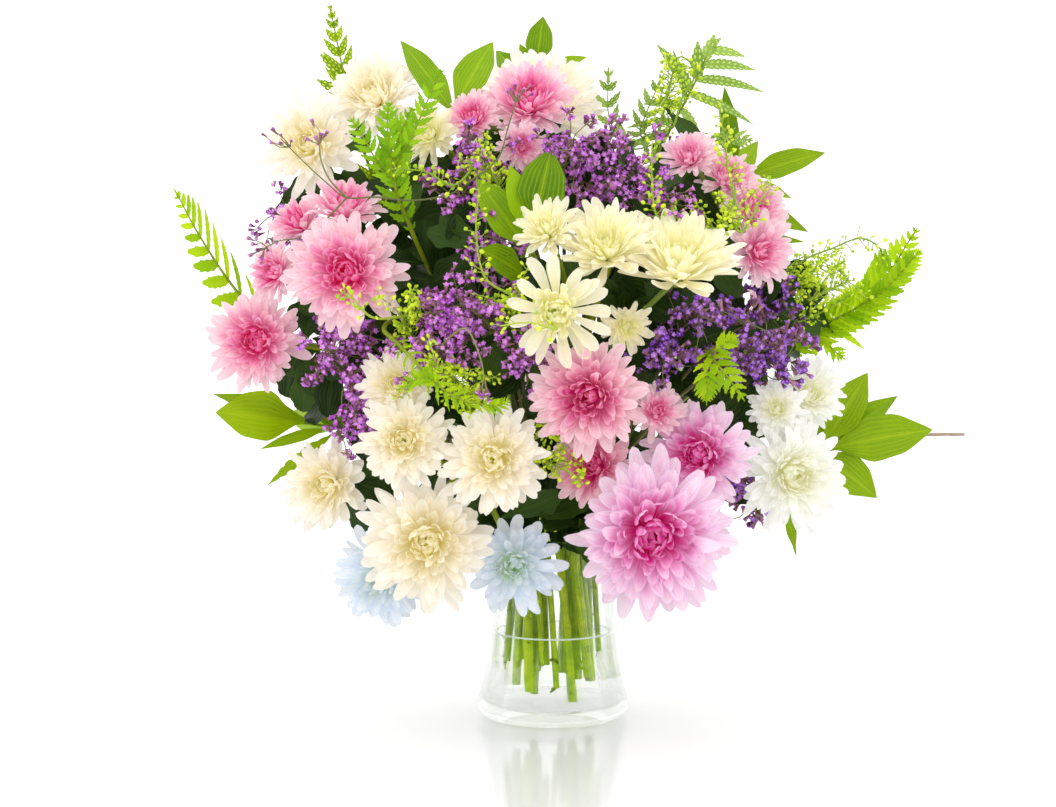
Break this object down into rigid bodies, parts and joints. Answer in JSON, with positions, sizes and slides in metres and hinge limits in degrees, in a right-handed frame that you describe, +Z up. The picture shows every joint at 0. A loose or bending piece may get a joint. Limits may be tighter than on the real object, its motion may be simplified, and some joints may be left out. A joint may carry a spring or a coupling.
{
  "type": "bouquet of spray chrysanthemums in a glass vase",
  "caption": "Mixed bouquet of white and pink spray chrysanthemums with statice, green pods, fern and ruscus leaves, standing in water in a clear conical glass vase.",
  "frame": {"origin": "centre of the vase's flat foot, on the surface it stands on", "axes": "+Z up; -Y towards the viewer, the side that the picture shows; +X to the viewer's right"},
  "size_m": [0.4709, 0.3164, 0.4212],
  "materials": {
    "vase_glass": "clear, polished",
    "water": "clear still water",
    "white_petals": "soft cream-white petals with yellow-green hearts",
    "pink_petals": "soft pink petals, deep pink hearts, pale tips",
    "green_stems": "satin ridged green stem",
    "fern": "matt yellow-green",
    "ruscus_leaf": "glossy, parallel-veined green",
    "statice_florets": "papery purple",
    "green_pods": "satin yellow-green"
  },
  "bodies": {
    "root": {"vase": "vase_glass", "water": "water", "bloom_white_top_left": "white_petals", "bloom_white_far_left": "white_petals", "bloom_white_top_inner": "white_petals", "bloom_white_top": "white_petals", "bloom_white_centre_small": "white_petals", "bloom_white_centre": "white_petals", "bloom_white_centre_right": "white_petals", "bloom_white_open": "white_petals", "bloom_white_left_pair": "white_petals", "bloom_white_left": "white_petals", "bloom_white_middle": "white_petals", "bloom_white_low_pair": "white_petals", "bloom_white_low": "white_petals", "bloom_white_right_group": "white_petals", "bloom_pink_top_group": "pink_petals", "bloom_pink_left_upper_pair": "pink_petals", "bloom_pink_left_pair": "pink_petals", "bloom_pink_left": "pink_petals", "bloom_pink_right_group": "pink_petals", "bloom_pink_centre": "pink_petals", "bloom_pink_centre_low": "pink_petals", "bloom_pink_right_pair": "pink_petals", "bloom_pink_large": "pink_petals", "bloom_white_back_top": "white_petals", "bloom_white_back_left": "white_petals", "bloom_white_back_right": "white_petals", "bloom_pink_back_top": "pink_petals", "bloom_pink_back_left": "pink_petals", "bloom_pink_back_low": "pink_petals", "bloom_pink_back_right": "pink_petals", "stem_white_top": "green_stems", "stem_white_centre": "green_stems", "stem_white_left": "green_stems", "stem_white_right": "green_stems", "stem_pink_top": "green_stems", "stem_pink_left": "green_stems", "stem_pink_right": "green_stems", "stem_white_back": "green_stems", "stem_pink_back": "green_stems", "fern_top_left": "fern", "fern_far_left": "fern", "fern_inner_left": "fern", "fern_top_right": "fern", "fern_far_right": "fern", "fern_front_right": "fern", "fern_front_left": "fern", "ruscus_left": "ruscus_leaf", "ruscus_top": "ruscus_leaf", "ruscus_centre": "ruscus_leaf", "ruscus_upper_right": "ruscus_leaf", "ruscus_right": "ruscus_leaf", "statice_centre": "statice_florets", "statice_left": "statice_florets", "statice_top": "statice_florets", "statice_right": "statice_florets", "pods_left": "green_pods", "pods_top": "green_pods", "pods_right": "green_pods"}
  },
  "joints": []
}
